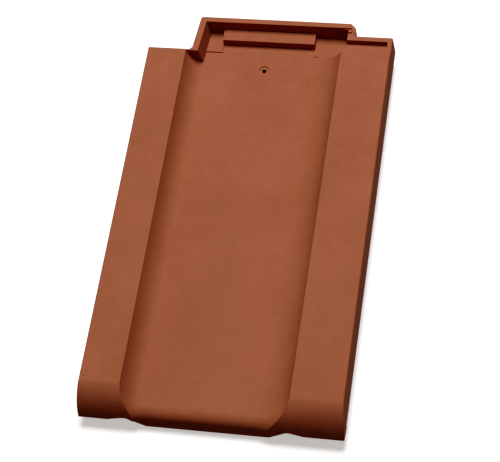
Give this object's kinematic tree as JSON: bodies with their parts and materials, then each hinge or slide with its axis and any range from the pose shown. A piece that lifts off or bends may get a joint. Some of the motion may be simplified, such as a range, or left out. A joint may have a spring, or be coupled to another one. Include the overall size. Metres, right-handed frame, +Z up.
{
  "type": "clay roof tile",
  "caption": "Interlocking fired clay roof tile with a flat pan between two flat cover bands, a raised head rim, a nail hole and two nibs.",
  "frame": {"origin": "middle of the tile's box, on the plane that its tail edge and nibs rest on", "axes": "+X to the right across the tile, +Y up the roof from the tail to the head rim, +Z up out of the weather face"},
  "size_m": [0.28, 0.486, 0.05],
  "materials": {
    "clay": "matte"
  },
  "bodies": {
    "root": {"roof_tile": "clay"}
  },
  "joints": []
}
